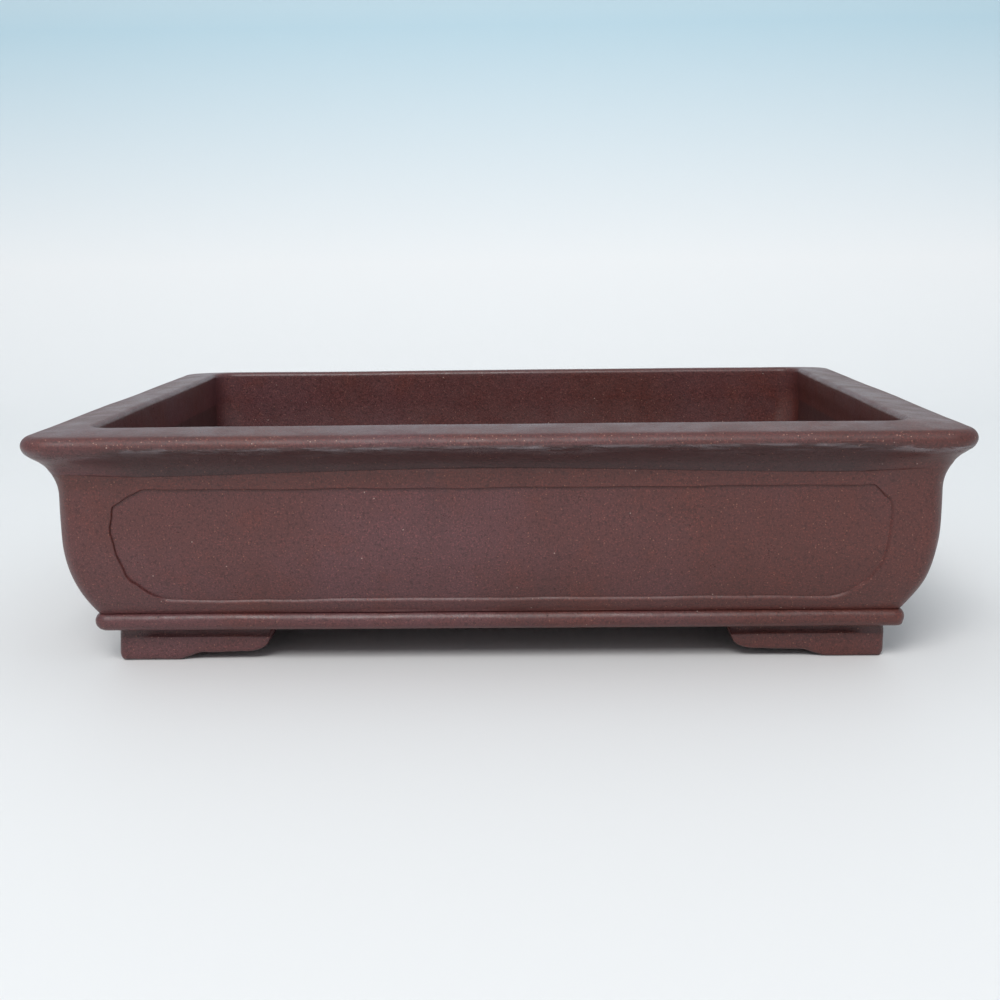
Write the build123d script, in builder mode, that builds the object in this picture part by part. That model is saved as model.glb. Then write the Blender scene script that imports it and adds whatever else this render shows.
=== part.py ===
from build123d import *
import math
import os

# Rectangular slab-built bonsai pot, in millimetres.
# Origin: middle of the footprint, on the plane that the feet stand on. +Z up, +X along the length,
# -Y towards the front. "Inset" is the level distance in from the outermost edge of the lip.

# Driving dimensions
LENGTH = 500.0
DEPTH = 390.0
HEIGHT = 132.0
FOOT_H = 19.3
FLOOR_T = 10.0
WALL_TOP_Z = 109.0
FLOOR_TOP_Z = FOOT_H + FLOOR_T

# Outer face of the walls: an upright neck, a belly curving in below it, a hollow flare above it
NECK_INSET = 15.9
BELLY_TOP_Z = 73.0
BELLY_R = 75.0
FLARE_FOOT_Z = 96.0
FLARE_R = 26.0
LIP_CORNER_R = 17.0
CORNER_R_PER_INSET = 0.4

# Lip: the flare runs up to an arris, then a rounded edge turns into a top that falls outwards
ARRIS_Z = 119.4
EDGE_Z = 124.6
EDGE_LOW_R = 11.6
EDGE_TOP_R = 2.7
EDGE_TURN = 75.0
CROWN_INSET = 13.0
CROWN_Z = 129.9
CREST_INSET = 28.0
CREST_R = 3.0
INNER_INSET = 31.2

# Inside faces: upright above, leaning in to the floor below
LEAN_TOP_Z = 75.0
FLOOR_INSET = 43.0
FLOOR_CORNER_R = 24.0
LEAN_CORNER_R = 22.0
RIM_CORNER_R = 14.0
FLOOR_COIL_R = 12.0

# Raised border on each wall and the window in it
BORDER_T = 2.0
WINDOW_END = 54.0
WINDOW_LOW_Z = 38.5
WINDOW_TOP_Z = 99.3
SHOULDER_RUN = 7.5
SHOULDER_DROP = 8.5
HEEL_OUT = 1.2
HEEL_RUN = 14.5
HEEL_RISE = 13.0
BULGE = 8.7
BULGE_Z = 77.0
WINDOW_ROUND_R = 6.0

# Belt strips
BELT_INSET = 32.0
BELT_BULGE = 4.0
BELT_CORNER_R = 3.0

# Feet
FOOT_INSET = 38.5
FOOT_T = 24.0
FOOT_LEN_X = 87.0
FOOT_LEN_Y = 75.0
PAD_SHARE = 0.38
RISE_SLOPE = 0.4
ARCH_RUN = 15.0
ARCH_Z = 3.9
ARCH_END_Z = 4.3
ARCH_END_SLOPE = 0.1
TOE_RUN = 17.0
TOE_CURL_IN = 6.5
TOE_CURL_Z = 6.7
TOE_IN = 3.5
TOE_Z = 11.0
FOOT_CORNER_R = 4.0
FOOT_NECK_Z = 13.2
FOOT_NECK_CUT = 2.4
NECK_HOLLOW_CUT = 1.7
NECK_HOLLOW_Z = 15.0

# Holes through the floor
DRAIN_R = 14.0
DRAIN_PITCH = 210.0
WIRE_R = 3.0
WIRE_PITCH_X = 290.0
WIRE_PITCH_Y = 120.0

# The rings are cut into four at mitre planes through the corners
MITRE_REACH = 90.0
MARGIN = 20.0

# Sections in each loft: more where the outline curves more
LONG_CURVE = 6
SHORT_CURVE = 4
BELT_CURVE = 9


def wall_inset(z):
    """Inset of the outer wall face at height z."""
    if z < BELLY_TOP_Z:
        return NECK_INSET + BELLY_R - math.sqrt(BELLY_R ** 2 - (BELLY_TOP_Z - z) ** 2)
    if z > FLARE_FOOT_Z:
        return NECK_INSET - FLARE_R + math.sqrt(FLARE_R ** 2 - (z - FLARE_FOOT_Z) ** 2)
    return NECK_INSET


def corner_radius(inset):
    """The upright corners are softest at the lip and tighten towards the waist."""
    return LIP_CORNER_R - CORNER_R_PER_INSET * inset


def spaced(low, high, count):
    """Evenly spaced values from low to high."""
    return [low + (high - low) * i / (count - 1) for i in range(count)]


def level_section(z, inset, radius):
    """Rectangle at height z with corners of the given radius."""
    with BuildSketch(Plane.XY.offset(z)) as section:
        if radius > 0:
            RectangleRounded(LENGTH - 2 * inset, DEPTH - 2 * inset, radius)
        else:
            Rectangle(LENGTH - 2 * inset, DEPTH - 2 * inset)
    return section.sketch


def outer_sections(levels, set_back=0.0):
    """Sections of the outer shape through (height, inset) pairs."""
    return [level_section(z, inset + set_back, corner_radius(inset)) for z, inset in levels]


def wall_bulk(set_back):
    """The pot's bulk between the floor slab and the lip, set back from the outer face."""
    heights = spaced(FLOOR_TOP_Z, BELLY_TOP_Z, LONG_CURVE)
    heights += spaced(BELLY_TOP_Z, FLARE_FOOT_Z, SHORT_CURVE)[1:]
    heights += spaced(FLARE_FOOT_Z, WALL_TOP_Z, SHORT_CURVE)[1:]
    with BuildPart() as bulk:
        loft(outer_sections([(z, wall_inset(z)) for z in heights], set_back))
    return bulk.part


def lip_bulk():
    """The lip before it is hollowed: flare, rounded edge and sloping top."""
    flare = [(z, wall_inset(z)) for z in spaced(WALL_TOP_Z, ARRIS_Z, LONG_CURVE)]
    edge = [flare[-1]]
    for z in spaced(ARRIS_Z, EDGE_Z, SHORT_CURVE)[1:]:
        edge.append((z, EDGE_LOW_R - math.sqrt(EDGE_LOW_R ** 2 - (EDGE_Z - z) ** 2)))
    for turn in spaced(0.0, math.radians(EDGE_TURN), LONG_CURVE)[1:]:
        edge.append((EDGE_Z + EDGE_TOP_R * math.sin(turn), EDGE_TOP_R * (1 - math.cos(turn))))
    slope = [edge[-1], (CROWN_Z, CROWN_INSET), (HEIGHT, CREST_INSET)]
    with BuildPart() as bulk:
        loft(outer_sections(flare))
        loft(outer_sections(edge))
        loft(outer_sections(slope))
    return bulk.part


def cavity(floor_r, lean_r, rim_r, top_z):
    """The hollow inside the walls, with its own corner radius at each level."""
    lean_top = level_section(LEAN_TOP_Z, INNER_INSET, lean_r)
    with BuildPart() as hollow:
        loft([level_section(FLOOR_TOP_Z, FLOOR_INSET, floor_r), lean_top], ruled=True)
        loft([lean_top, level_section(WALL_TOP_Z, INNER_INSET, rim_r)], ruled=True)
        if top_z > WALL_TOP_Z:
            with BuildSketch(Plane.XY.offset(WALL_TOP_Z)):
                RectangleRounded(LENGTH - 2 * INNER_INSET, DEPTH - 2 * INNER_INSET, rim_r)
            extrude(amount=top_z - WALL_TOP_Z)
    return hollow.part


def side_half_length(side):
    """Half the overall length of a side, along the lip."""
    return LENGTH / 2 if side in ("front", "back") else DEPTH / 2


def mitre_block(side):
    """Block that holds one side of a ring, cut at 45 degrees through the corners."""
    half = side_half_length(side)
    with BuildPart() as block:
        with BuildSketch(SIDE_PLANES[side]):
            with BuildLine():
                Polyline(
                    (-half - MARGIN, -MARGIN),
                    (half + MARGIN, -MARGIN),
                    (half - MITRE_REACH, MITRE_REACH),
                    (-half + MITRE_REACH, MITRE_REACH),
                    close=True,
                )
            make_face()
        extrude(amount=HEIGHT + MARGIN)
    return block.part


# Level planes, one per side: local y runs inwards from the outermost edge of the lip
SIDE_PLANES = {
    "front": Plane(origin=(0, -DEPTH / 2, 0), x_dir=(1, 0, 0), z_dir=(0, 0, 1)),
    "back": Plane(origin=(0, DEPTH / 2, 0), x_dir=(-1, 0, 0), z_dir=(0, 0, 1)),
    "left": Plane(origin=(-LENGTH / 2, 0, 0), x_dir=(0, -1, 0), z_dir=(0, 0, 1)),
    "right": Plane(origin=(LENGTH / 2, 0, 0), x_dir=(0, 1, 0), z_dir=(0, 0, 1)),
}
MITRE_BLOCKS = {side: mitre_block(side) for side in SIDE_PLANES}


def section_plane(side):
    """Upright plane across a side: local x is the inset and local y is the height."""
    level = SIDE_PLANES[side]
    return Plane(origin=level.origin, x_dir=level.y_dir, z_dir=level.x_dir)


def face_plane(side):
    """Upright plane on a side's outermost edge, facing outwards: local y is the height."""
    level = SIDE_PLANES[side]
    return Plane(origin=level.origin, x_dir=level.x_dir, z_dir=-level.y_dir)


def export_piece(piece, label):
    """Name a finished piece and write it out."""
    piece.label = label
    export_step(piece, f"parts/{label}.step")


def export_sides(ring, kind):
    """Cut a ring at the mitres and write its four sides."""
    for side, block in MITRE_BLOCKS.items():
        with BuildPart() as piece:
            add(ring)
            add(block, mode=Mode.INTERSECT)
        export_piece(piece.part, f"{side}_{kind}")


os.makedirs("parts", exist_ok=True)

# Floor slab: the walls stand on it and the feet are luted under it
with BuildPart() as floor_slab:
    with BuildSketch(Plane.XY.offset(FOOT_H)):
        RectangleRounded(LENGTH - 2 * BELT_INSET, DEPTH - 2 * BELT_INSET, BELT_CORNER_R)
    extrude(amount=FLOOR_T)
    with BuildSketch(Plane.XY.offset(FOOT_H)):
        with GridLocations(DRAIN_PITCH, 0, 2, 1):
            Circle(DRAIN_R)
        with GridLocations(WIRE_PITCH_X, WIRE_PITCH_Y, 2, 2):
            Circle(WIRE_R)
    extrude(amount=FLOOR_T, mode=Mode.SUBTRACT)
export_piece(floor_slab.part, "floor_slab")

# Wall slabs, set back by the thickness of the border that is luted on to them
core = wall_bulk(BORDER_T)
square_cavity = cavity(0, 0, 0, WALL_TOP_Z)
with BuildPart() as walls:
    add(core)
    add(square_cavity, mode=Mode.SUBTRACT)
export_sides(walls.part, "wall")

# Raised borders: a skin over each wall with the window cut out of it
with BuildPart() as skin:
    add(wall_bulk(0.0))
    add(core, mode=Mode.SUBTRACT)
for side, block in MITRE_BLOCKS.items():
    half = side_half_length(side) - WINDOW_END
    with BuildPart() as border:
        add(skin.part)
        add(block, mode=Mode.INTERSECT)
        with BuildSketch(face_plane(side)) as window:
            with BuildLine():
                top = Line((0, WINDOW_TOP_Z), (half, WINDOW_TOP_Z))
                shoulder = Line(top @ 1, (half + SHOULDER_RUN, WINDOW_TOP_Z - SHOULDER_DROP))
                heel_top = (half + HEEL_OUT, WINDOW_LOW_Z + HEEL_RISE)
                end = ThreePointArc(shoulder @ 1, (half + BULGE, BULGE_Z), heel_top)
                heel = Line(end @ 1, (half + HEEL_OUT - HEEL_RUN, WINDOW_LOW_Z))
                Line(heel @ 1, (0, WINDOW_LOW_Z))
                mirror(about=Plane.YZ)
            make_face()
            fillet(window.vertices().filter_by(lambda v: abs(v.X) > 1), WINDOW_ROUND_R)
        extrude(amount=-MITRE_REACH, mode=Mode.SUBTRACT)
    export_piece(border.part, f"{side}_border")

# Lip strips, with the inner edge of the rim rounded over
with BuildPart() as lips:
    add(lip_bulk())
    add(cavity(FLOOR_CORNER_R, LEAN_CORNER_R, RIM_CORNER_R, HEIGHT + MARGIN), mode=Mode.SUBTRACT)
    rim = lips.faces().filter_by(Axis.Z).sort_by(Axis.Z)[-1]
    fillet(rim.inner_wires().edges(), CREST_R)
export_sides(lips.part, "lip")

# Coils smeared into the upright inner corners
with BuildPart() as corner_coils:
    add(square_cavity)
    add(cavity(FLOOR_CORNER_R, LEAN_CORNER_R, RIM_CORNER_R, WALL_TOP_Z), mode=Mode.SUBTRACT)
for coil in corner_coils.solids():
    middle = coil.center()
    end = "front" if middle.Y < 0 else "back"
    hand = "left" if middle.X < 0 else "right"
    export_piece(Part([coil]), f"corner_coil_{end}_{hand}")

# Coils smeared along the joint between the floor and the walls, from one corner coil to the next
lean = math.atan2(FLOOR_INSET - INNER_INSET, LEAN_TOP_Z - FLOOR_TOP_Z)
coil_reach = FLOOR_COIL_R / math.tan((math.pi / 2 + lean) / 2)
for side in SIDE_PLANES:
    half_run = side_half_length(side) - FLOOR_INSET - FLOOR_CORNER_R
    with BuildPart() as floor_coil:
        with BuildSketch(section_plane(side)):
            with BuildLine():
                Polyline(
                    (FLOOR_INSET, FLOOR_TOP_Z),
                    (FLOOR_INSET + coil_reach, FLOOR_TOP_Z),
                    (
                        FLOOR_INSET - coil_reach * math.sin(lean),
                        FLOOR_TOP_Z + coil_reach * math.cos(lean),
                    ),
                    close=True,
                )
            make_face()
            with Locations((FLOOR_INSET + coil_reach, FLOOR_TOP_Z + FLOOR_COIL_R)):
                Circle(FLOOR_COIL_R, mode=Mode.SUBTRACT)
        extrude(amount=half_run, both=True)
    export_piece(floor_coil.part, f"floor_coil_{side}")

# Half-round belt strips over the joint between the floor slab and the walls
belt_mid_z = (FOOT_H + FLOOR_TOP_Z) / 2
belt_r = ((FLOOR_T / 2) ** 2 + BELT_BULGE ** 2) / (2 * BELT_BULGE)
belt_turn = math.asin(FLOOR_T / 2 / belt_r)
belt_levels = []
for turn in spaced(-belt_turn, belt_turn, BELT_CURVE):
    swell = BELT_BULGE - belt_r * (1 - math.cos(turn))
    belt_levels.append(
        level_section(belt_mid_z + belt_r * math.sin(turn), BELT_INSET - swell, BELT_CORNER_R + swell)
    )
with BuildPart() as belt:
    loft(belt_levels)
    with BuildSketch(Plane.XY.offset(FOOT_H)):
        RectangleRounded(LENGTH - 2 * BELT_INSET, DEPTH - 2 * BELT_INSET, BELT_CORNER_R)
    extrude(amount=FLOOR_T, mode=Mode.SUBTRACT)
export_sides(belt.part, "belt")


def foot_arm(plane, arm_length, thickness):
    """One arm of a foot: local x runs inwards from the pot's corner and local y is the height."""
    pad = PAD_SHARE * arm_length
    with BuildPart() as arm:
        with BuildSketch(plane):
            with BuildLine():
                sole = Line((0, 0), (pad, 0))
                rise = Spline(
                    sole @ 1,
                    (pad + ARCH_RUN, ARCH_Z),
                    (arm_length - TOE_RUN, ARCH_END_Z),
                    tangents=((1, RISE_SLOPE), (1, ARCH_END_SLOPE)),
                )
                toe = ThreePointArc(
                    rise @ 1,
                    (arm_length - TOE_CURL_IN, TOE_CURL_Z),
                    (arm_length - TOE_IN, TOE_Z),
                )
                throat = Line(toe @ 1, (arm_length, FOOT_H))
                Polyline(throat @ 1, (0, FOOT_H), (0, 0))
            make_face()
        extrude(amount=thickness)
    return arm.part


def neck_cut(plane):
    """Hollow cut along the top of a foot's outer face: local x is the inset."""
    with BuildPart() as cut:
        with BuildSketch(plane):
            with BuildLine():
                arris = (FOOT_INSET, FOOT_NECK_Z)
                deep = (FOOT_INSET + FOOT_NECK_CUT, FOOT_H)
                ThreePointArc(arris, (FOOT_INSET + NECK_HOLLOW_CUT, NECK_HOLLOW_Z), deep)
                Polyline(deep, (FOOT_INSET - MARGIN, FOOT_H), (FOOT_INSET - MARGIN, FOOT_NECK_Z), arris)
            make_face()
        extrude(amount=LENGTH / 2, both=True)
    return cut.part


# L-shaped bracket feet: the front left one is shaped and the others mirror it
corner = (-LENGTH / 2 + FOOT_INSET, -DEPTH / 2 + FOOT_INSET, 0)
with BuildPart() as foot:
    add(foot_arm(Plane(origin=corner, x_dir=(1, 0, 0), z_dir=(0, -1, 0)), FOOT_LEN_X, -FOOT_T))
    add(foot_arm(Plane(origin=corner, x_dir=(0, 1, 0), z_dir=(1, 0, 0)), FOOT_LEN_Y, FOOT_T))
    upright = foot.edges().filter_by(Axis.Z).group_by(Axis.X)[0]
    fillet(upright.sort_by(Axis.Y)[0], FOOT_CORNER_R)
    add(neck_cut(section_plane("front")), mode=Mode.SUBTRACT)
    add(neck_cut(section_plane("left")), mode=Mode.SUBTRACT)
export_piece(foot.part, "foot_front_left")
for label, planes in {
    "foot_front_right": [Plane.YZ],
    "foot_back_left": [Plane.XZ],
    "foot_back_right": [Plane.YZ, Plane.XZ],
}.items():
    mirrored = foot.part
    for plane in planes:
        mirrored = mirror(mirrored, about=plane)
    export_piece(mirrored, label)
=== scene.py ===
import math

import bpy
import numpy as np
from mathutils import Matrix, Vector


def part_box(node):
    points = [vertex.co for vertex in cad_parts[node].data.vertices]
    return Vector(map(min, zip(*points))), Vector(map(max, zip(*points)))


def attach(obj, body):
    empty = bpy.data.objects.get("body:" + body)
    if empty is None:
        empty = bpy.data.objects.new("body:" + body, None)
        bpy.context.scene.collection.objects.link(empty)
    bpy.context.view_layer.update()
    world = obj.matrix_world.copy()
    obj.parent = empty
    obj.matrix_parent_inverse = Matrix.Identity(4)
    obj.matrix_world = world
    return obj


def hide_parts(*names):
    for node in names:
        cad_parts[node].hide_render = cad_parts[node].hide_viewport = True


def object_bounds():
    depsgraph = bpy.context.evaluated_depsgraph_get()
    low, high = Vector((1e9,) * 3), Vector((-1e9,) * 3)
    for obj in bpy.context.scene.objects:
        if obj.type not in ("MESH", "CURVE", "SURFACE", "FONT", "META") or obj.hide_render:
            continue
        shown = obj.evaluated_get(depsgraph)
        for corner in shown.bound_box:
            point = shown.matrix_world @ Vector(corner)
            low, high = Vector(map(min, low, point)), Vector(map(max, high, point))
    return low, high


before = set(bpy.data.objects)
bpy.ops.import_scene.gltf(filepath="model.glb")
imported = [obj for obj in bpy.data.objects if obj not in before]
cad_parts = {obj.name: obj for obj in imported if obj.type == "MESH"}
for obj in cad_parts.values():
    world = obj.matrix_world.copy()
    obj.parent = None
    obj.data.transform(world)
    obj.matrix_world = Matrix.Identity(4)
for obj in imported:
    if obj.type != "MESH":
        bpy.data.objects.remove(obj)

# An unglazed slab-built bonsai pot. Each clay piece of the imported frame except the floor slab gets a
# finished mesh of its own: a grid of points laid along a side or a corner of the pot, with hand-made
# unevenness worked into it. Sizes are in metres. "Inset" is the level distance in from the lip's
# outermost edge, and "along" is the distance from the middle of a side.

CAD_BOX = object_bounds()
LOW, HIGH = CAD_BOX
HALF = {"front": HIGH.x, "back": HIGH.x, "left": HIGH.y, "right": HIGH.y}
HEIGHT = HIGH.z
FOOT_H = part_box("floor_slab")[0].z
FLOOR_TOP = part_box("floor_slab")[1].z
WALL_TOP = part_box("front_lip")[0].z
FOOT_LOW, FOOT_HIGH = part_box("foot_front_left")
FOOT_INSET = FOOT_LOW.x - LOW.x
MM = 0.001

# Outer face: belly arc below an upright neck, then the hollow flare up to the lip's arris
NECK_INSET = 15.9 * MM
BELLY_TOP = 73 * MM
BELLY_R = 75 * MM
FLARE_FOOT = 96 * MM
FLARE_R = 26 * MM
LIP_CORNER_R = 17 * MM
CORNER_R_PER_INSET = 0.4

# Lip: rounded edge, top that rises inwards to a crest, and upright inner face
ARRIS_Z = 119.4 * MM
ARRIS_RISE = 3.2 * MM
EDGE_Z = 124.6 * MM
EDGE_LOW_R = 11.6 * MM
EDGE_TOP_R = 5.4 * MM
EDGE_TOP_Z = 129.95 * MM
CREST_INSET = 28 * MM
CREST_R = 3 * MM
INNER_INSET = 31.2 * MM
FLOOR_INSET = 43 * MM

# The hollow under the lip is cut with a tool, which runs out between these distances from the corners
TOOL_LIFTS = 60 * MM
TOOL_GONE = 22 * MM

# Border and its window
BORDER_T = 2 * MM
WINDOW_END = 54 * MM
WINDOW_LOW = 38.6 * MM
WINDOW_TOP = 99.4 * MM
WINDOW_POINTS = 1000

BELT_INSET = 32 * MM
BELT_BULGE = 4 * MM
COIL_R = 12 * MM
FOOT_THICK = 24 * MM
FOOT_NECK_Z = 13.2 * MM

# Clay laid over the CAD surface is kept this far inside it
SKIN = 0.25 * MM

# Rows of the lip's grid, from the seam up and over to the crest
HOLLOW_ROWS = 15
LOW_EDGE_ROWS = 8
NOSE_ROWS = 8
SLOPE_ROWS = 14
ARRIS_ROW = HOLLOW_ROWS + 1
SLOPE_ROW = ARRIS_ROW + LOW_EDGE_ROWS + NOSE_ROWS
CREST_ROW = SLOPE_ROW + SLOPE_ROWS

CORNER_STEPS = 10
BELT_ROWS = 17
WALL_LEVELS = np.linspace(FLOOR_TOP, WALL_TOP, 30)

rng = np.random.default_rng(7)


class Waves:
    """Smooth, repeatable unevenness: a sum of randomly turned sine waves of about one wavelength."""

    def __init__(self, wavelength, count=14):
        turn = rng.normal(size=(count, 3))
        turn /= np.linalg.norm(turn, axis=1)[:, None]
        self.waves = turn * 2 * math.pi / (wavelength * rng.uniform(0.6, 1.6, count))[:, None]
        self.phase = rng.uniform(0, 2 * math.pi, count)
        self.scale = math.sqrt(2 / count)

    def __call__(self, points):
        return np.sin(points @ self.waves.T + self.phase).sum(-1) * self.scale


BROAD = Waves(0.16)
PALM = Waves(0.045)
THUMB = Waves(0.016)
CHATTER = Waves(0.0045, 20)

# Stretches of space before a wave is read from it
ALONG_ONLY = np.array([1.0, 1.0, 0.05])
LONG_GRAIN = np.array([0.45, 0.45, 1.0])
LEVEL_ONLY = np.array([1, 1, 0])


# ---- shape of the pot -------------------------------------------------------------------------------


def smooth(x, low, high):
    """0 below low, 1 above high, and a smooth rise between."""
    t = np.clip((x - low) / (high - low), 0, 1)
    return t * t * (3 - 2 * t)


def bell(x, middle, width):
    """1 at the middle, fading to nothing over about two widths."""
    return np.exp(-(((x - middle) / width) ** 2))


def edge_inset(z):
    """Inset of the lip's edge between its arris and its outermost line."""
    return EDGE_LOW_R - np.sqrt(np.maximum(EDGE_LOW_R**2 - (EDGE_Z - z) ** 2, 0))


def flare_inset(z):
    """Inset of the hollow flare between the wall and the arris, and of the lip's edge above it."""
    hollow = NECK_INSET - FLARE_R + np.sqrt(np.maximum(FLARE_R**2 - (z - FLARE_FOOT) ** 2, 0))
    return np.where(z > ARRIS_Z, edge_inset(z), hollow)


def wall_inset(z):
    """Inset of the outer wall face: belly, upright neck, and flare."""
    belly = NECK_INSET + BELLY_R - np.sqrt(BELLY_R**2 - np.maximum(BELLY_TOP - z, 0) ** 2)
    return np.where(z > FLARE_FOOT, flare_inset(z), belly)


def border_inset(side, along, z):
    """Inset of the border's face: it stays upright to the tooled seam, and flares only at the corners."""
    cut = tooled(side, along)
    return np.where(z > FLARE_FOOT, cut * NECK_INSET + (1 - cut) * wall_inset(z), wall_inset(z))


def inner_inset(z):
    """Inset of the inside face, upright at the rim and easing in towards the floor."""
    t = np.clip((WALL_TOP - z) / (WALL_TOP - FLOOR_TOP), 0, 1)
    return INNER_INSET + (FLOOR_INSET - INNER_INSET) * t**1.6


def inner_radius(z):
    """Corner radius of the inside, wide at the floor and tighter at the rim."""
    t = np.clip((z - FLOOR_TOP) / (WALL_TOP - FLOOR_TOP), 0, 1)
    return (24 - 10 * t) * MM


def outer_radius(inset):
    """Corner radius of the outside, softest at the lip."""
    return LIP_CORNER_R - CORNER_R_PER_INSET * inset


def tooled(side, along):
    """1 where the hollow under the lip was cut with a tool, 0 where it runs out at the corners."""
    return 1 - smooth(np.abs(along), HALF[side] - TOOL_LIFTS, HALF[side] - TOOL_GONE)


def seam_height(side, along):
    """Height of the tooled seam between wall and lip: a slow hand-cut wave, level at the corners."""
    half_wave, shift = 200 * MM, 12 * MM
    strength = 1.0 if side == "front" else 0.6
    sway = 1.7 * MM * np.cos(math.pi * (along + shift) / half_wave) - 0.6 * MM
    return WALL_TOP + sway * tooled(side, along) * strength


def lean(points):
    """Hand-made lean: the right end's neck stands out a little and its waist is pulled in."""
    z = points[..., 2]
    neck = smooth(z, 58 * MM, 80 * MM) * (1 - smooth(z, 111 * MM, 122 * MM))
    waist = smooth(z, 19 * MM, 22 * MM) * (1 - smooth(z, 30 * MM, 50 * MM))
    share = smooth(points[..., 0], 20 * MM, HIGH.x - NECK_INSET)
    points = points.copy()
    points[..., 0] += share * (1.1 * MM * neck - 1.7 * MM * waist)
    return points


# ---- grids of points and meshes ---------------------------------------------------------------------


def place(side, along, inset, height, radius):
    """World points for positions along a side that turns through 45 degrees at each end."""
    flat = HALF[side] - inset - radius
    turn = np.clip((np.abs(along) - flat) / np.maximum(radius, 1e-6), 0, math.pi / 4)
    x = np.sign(along) * (np.minimum(np.abs(along), flat) + radius * np.sin(turn))
    y = inset + radius * (1 - np.cos(turn))
    x, y, z = np.broadcast_arrays(x, y, height)
    world = {
        "front": (x, LOW.y + y, z),
        "back": (-x, HIGH.y - y, z),
        "left": (LOW.x + y, -x, z),
        "right": (HIGH.x - y, x, z),
    }[side]
    return lean(np.stack(world, -1))


def columns(side, spacing):
    """Column stations along a side: (share of the flat run, corner angle)."""
    steps = int(2 * HALF[side] / spacing)
    flat = [(t, 0.0) for t in np.linspace(-1, 1, steps)]
    arc = [math.pi / 4 * (i + 1) / CORNER_STEPS for i in range(CORNER_STEPS)]
    return np.array([(-1.0, -a) for a in reversed(arc)] + flat + [(1.0, a) for a in arc])


def along_side(side, stations, inset, radius):
    """Distance along the side at each station, for points of the given inset and corner radius."""
    flat = HALF[side] - inset - radius
    return flat * stations[:, 0] + radius * stations[:, 1]


def place_stations(side, stations, inset, height, radius):
    """World points of a grid whose columns are stations along a side."""
    return place(side, along_side(side, stations, inset, radius), inset, height, radius)


def grid(section, cols):
    """Repeat a cross-section of (inset, height) points over the columns."""
    section = np.array(section)
    return np.repeat(section[:, :1], cols, 1), np.repeat(section[:, 1:], cols, 1)


def arc_points(centre, radius, start, stop, steps):
    """Points (inset, height) on an arc, with angles in degrees from the inward direction."""
    angles = np.radians(np.linspace(start, stop, steps))
    return [(centre[0] + radius * math.cos(a), centre[1] + radius * math.sin(a)) for a in angles]


def tint_layers(points, painted_shade=0.0, smeared=0.0, wear_and_highlight=0.0, ruddy_and_lip_shade=0.0):
    """Strengths of the clay's local looks at each point, in the order that the material reads them: painted
    shade, smears, edge grit with painted highlight, and a redder tone with painted shade under the lip.
    """
    shape = points.shape[:2]
    return np.stack([np.broadcast_to(layer, shape) for layer in (painted_shade, smeared, wear_and_highlight, ruddy_and_lip_shade)], -1)


def mesh_object(name, points, faces, tint=None, sharp=()):
    """Smooth-shaded mesh object; sharp is a list of vertex pairs whose edges stay crisp."""
    mesh = bpy.data.meshes.new(name)
    mesh.from_pydata(points.reshape(-1, 3).tolist(), [], faces)
    mesh.polygons.foreach_set("use_smooth", [True] * len(mesh.polygons))
    pairs = {tuple(sorted(pair)) for pair in sharp}
    for edge in mesh.edges:
        if tuple(sorted(edge.vertices)) in pairs:
            edge.use_edge_sharp = True
    if tint is not None:
        layer = mesh.attributes.new("tint", "FLOAT_COLOR", "POINT")
        layer.data.foreach_set("color", tint.ravel())
    obj = bpy.data.objects.new(name, mesh)
    bpy.context.collection.objects.link(obj)
    return obj


def ring_faces(rows, cols, closed):
    """Faces of a grid whose rows close into a ring, and whose columns do too if closed."""
    faces = []
    for i in range(rows):
        j = (i + 1) % rows
        for c in range(cols if closed else cols - 1):
            d = (c + 1) % cols
            faces.append((i * cols + c, j * cols + c, j * cols + d, i * cols + d))
    return faces


def row_edges(chosen, rows, cols, closed):
    """Edges along the chosen rows of a grid."""
    steps = range(cols if closed else cols - 1)
    return [(r % rows * cols + c, r % rows * cols + (c + 1) % cols) for r in chosen for c in steps]


def swept(name, points, tint=None, crisp_rows=()):
    """Closed tube through a rows x columns grid of points, with crisp flat ends and crisp chosen rows."""
    rows, cols = points.shape[:2]
    start = [i * cols for i in range(rows)]
    end = [i * cols + cols - 1 for i in range(rows)]
    faces = ring_faces(rows, cols, False) + [tuple(reversed(start)), tuple(end)]
    sharp = [(ring[i], ring[(i + 1) % rows]) for ring in (start, end) for i in range(rows)]
    sharp += row_edges(crisp_rows, rows, cols, False)
    return mesh_object(name, points, faces, tint, sharp)


def framed(name, points, tint, crisp_rows):
    """Closed picture frame through a grid of points whose rows and columns both close."""
    rows, cols = points.shape[:2]
    sharp = row_edges(crisp_rows, rows, cols, True)
    return mesh_object(name, points, ring_faces(rows, cols, True), tint, sharp)


def finish_piece(obj, *nodes):
    """Give a piece its clay, its body and the CAD pieces that it stands for."""
    obj.data.materials.append(CLAY)
    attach(obj, "root")
    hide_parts(*nodes)


# ---- clay -------------------------------------------------------------------------------------------


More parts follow.
